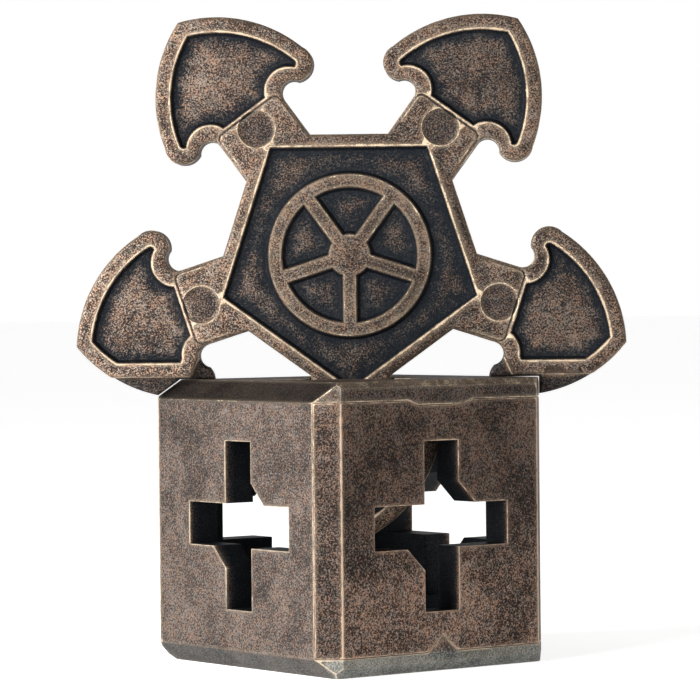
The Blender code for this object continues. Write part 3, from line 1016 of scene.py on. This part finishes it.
def hollows(g, grain, mottle):
    """How much of the dark of the hollows shows, raggedly along the foot of a recess's wall."""
    floor, shelter = g.attribute("floor"), g.attribute("shelter")
    ragged = g.math("ADD", g.swing(mottle, RAGGED_MOTTLE), g.swing(grain, RAGGED_GRAIN))
    open_floor = g.span(g.math("ADD", floor, ragged), *OPEN_FLOOR_SPAN)
    in_recess = g.span(floor, *RECESS_EDGE_SPAN)
    hidden = g.math("MULTIPLY", in_recess, g.math("SUBTRACT", 1.0, open_floor))
    hidden = g.math("MAXIMUM", hidden, g.math("MULTIPLY", in_recess, FLOOR_SHARE))
    return g.math("MAXIMUM", hidden, shelter, clamp=True)


def rubbing(g, grain, mottle, hidden):
    """How bright the worn edges are rubbed, and the faint halo beside them."""
    rub = g.math("ADD", g.attribute("edge"), g.swing(grain, RUB_SWING))
    rub = g.math("ADD", rub, g.swing(mottle, RUB_SWING))
    exposed = g.span(g.attribute("shelter"), *SHELTERED_SPAN)
    bright = g.math("MULTIPLY", g.span(rub, *BRIGHT_SPAN), exposed)
    halo = g.math("MULTIPLY", g.span(rub, *HALO_SPAN), HALO_SHARE)
    return bright, g.math("MULTIPLY", halo, g.math("SUBTRACT", 1.0, hidden))


def bumps(g, place, grain, fine):
    """The normal of a surface roughened by the grain and by a slower swell."""
    relief = g.math("ADD", g.math("MULTIPLY", grain, GRAIN_RELIEF), g.math("MULTIPLY", fine, FINE_RELIEF))
    relief = g.math("ADD", relief, g.math("MULTIPLY", g.noise(place, *SWELL), SWELL_RELIEF))
    bump = g.tree.nodes.new("ShaderNodeBump")
    bump.inputs["Strength"].default_value = BUMP_STRENGTH
    bump.inputs["Distance"].default_value = BUMP_HEIGHT * MM
    g.join(relief, bump.inputs["Height"])
    return bump.outputs["Normal"]


# ---------------------------------------------------------------- stage

def camera():
    azimuth, elevation, roll = (math.radians(a) for a in (VIEW_AZIMUTH, VIEW_ELEVATION, VIEW_ROLL))
    back = Vector((math.sin(azimuth) * math.cos(elevation), -math.cos(azimuth) * math.cos(elevation),
                   math.sin(elevation)))
    right = Vector((math.cos(azimuth), math.sin(azimuth), 0.0))
    up = back.cross(right)
    across = math.cos(roll) * right + math.sin(roll) * up
    upward = -math.sin(roll) * right + math.cos(roll) * up
    place = Vector((0.0, 0.0, HALF)) + VIEW_BACK * back + VIEW_ACROSS * across + VIEW_UP * upward
    data = bpy.data.cameras.new("camera")
    data.sensor_width = SENSOR_WIDTH
    data.lens = LENS
    data.clip_start, data.clip_end = CLIP_NEAR, CLIP_FAR
    obj = bpy.data.objects.new("camera", data)
    obj.matrix_world = Matrix.Translation(place * MM) @ Matrix((across, upward, back)).transposed().to_4x4()
    bpy.context.scene.collection.objects.link(obj)
    bpy.context.scene.camera = obj


def soft_light(name, azimuth, elevation, distance, size, watts, colour):
    a, e = math.radians(azimuth), math.radians(elevation)
    back = Vector((math.sin(a) * math.cos(e), -math.cos(a) * math.cos(e), math.sin(e)))
    data = bpy.data.lights.new(name, "AREA")
    data.shape = "DISK"
    data.size = size
    data.energy = watts
    data.color = colour
    obj = bpy.data.objects.new(name, data)
    obj.location = Vector(LIGHT_TARGET) + back * distance
    obj.rotation_euler = back.to_track_quat("Z", "Y").to_euler()
    bpy.context.scene.collection.objects.link(obj)


def studio():
    paper_floor()
    pale_surroundings()
    soft_light("key", azimuth=2.0, elevation=14.0, distance=0.36, size=0.3, watts=3.4,
               colour=(0.97, 0.99, 1.0))
    soft_light("fill", azimuth=75.0, elevation=8.0, distance=0.8, size=0.5, watts=1.2,
               colour=(1.0, 0.9, 0.8))
    bpy.context.scene.view_settings.view_transform = "Standard"


def paper_floor():
    edit = bmesh.new()
    bmesh.ops.create_circle(edit, cap_ends=True, segments=96, radius=FLOOR_RADIUS)
    floor = as_object("floor", edit)
    floor.location.z = -FLOOR_DROP
    paper = bpy.data.materials.new("pale_paper")
    g = Graph(paper)
    g.shader.inputs["Base Color"].default_value = PAPER_COLOUR
    g.shader.inputs["Roughness"].default_value = PAPER_ROUGHNESS
    g.shader.inputs["Specular IOR Level"].default_value = PAPER_SPECULAR
    g.shader.inputs["Emission Color"].default_value = WHITE
    g.shader.inputs["Emission Strength"].default_value = PAPER_GLOW
    floor.data.materials.append(paper)


def pale_surroundings():
    """A world that is brightest at the horizon and falls off towards the zenith."""
    world = bpy.data.worlds.new("studio")
    world.use_nodes = True
    tree = world.node_tree
    direction = tree.nodes.new("ShaderNodeTexCoord")
    split = tree.nodes.new("ShaderNodeSeparateXYZ")
    tree.links.new(direction.outputs["Generated"], split.inputs["Vector"])
    fall = tree.nodes.new("ShaderNodeMapRange")
    tree.links.new(split.outputs["Z"], fall.inputs["Value"])
    for name, number in SKY_FALL:
        fall.inputs[name].default_value = number
    background = tree.nodes["Background"]
    background.inputs["Color"].default_value = WHITE
    tree.links.new(fall.outputs["Result"], background.inputs["Strength"])
    bpy.context.scene.world = world


# ---------------------------------------------------------------- pieces

def dress(obj, material, body, node):
    for polygon in obj.data.polygons:
        polygon.use_smooth = True
    obj.data.set_sharp_from_angle(angle=math.radians(SMOOTH_DEGREES))
    weights = obj.modifiers.new("even_shading", "WEIGHTED_NORMAL")
    weights.keep_sharp = True
    obj.data.materials.clear()
    obj.data.materials.append(material)
    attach(obj, body)
    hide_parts(node)


def pieces():
    front, back = cube_castings()
    gear = bpy.data.objects.new("star_gear_cast", gear_mesh())
    bpy.context.scene.collection.objects.link(gear)
    at_rest = Matrix.Translation((0.0, 0.0, SIDE * MM)) @ Matrix.Rotation(REST_TURN, 4, "Z")
    at_rest = at_rest @ Matrix.Translation((0.0, 0.0, GEAR_RISE * MM))
    gear.matrix_world = at_rest @ Matrix.Rotation(0.25 * TURN, 4, "X")
    front_look = patina("front_casting_patina", FRONT_PALETTE, (3.0, 7.0, 1.0))
    back_look = patina("back_casting_patina", BACK_PALETTE, (11.0, 2.0, 5.0))
    gear_look = patina("gear_patina", GEAR_PALETTE, (5.0, 13.0, 9.0))
    dress(front, front_look, "cube", "cube_casting_front")
    dress(back, back_look, "cube", "cube_casting_back")
    dress(gear, gear_look, "gear", "star_gear")


camera()
studio()
pieces()
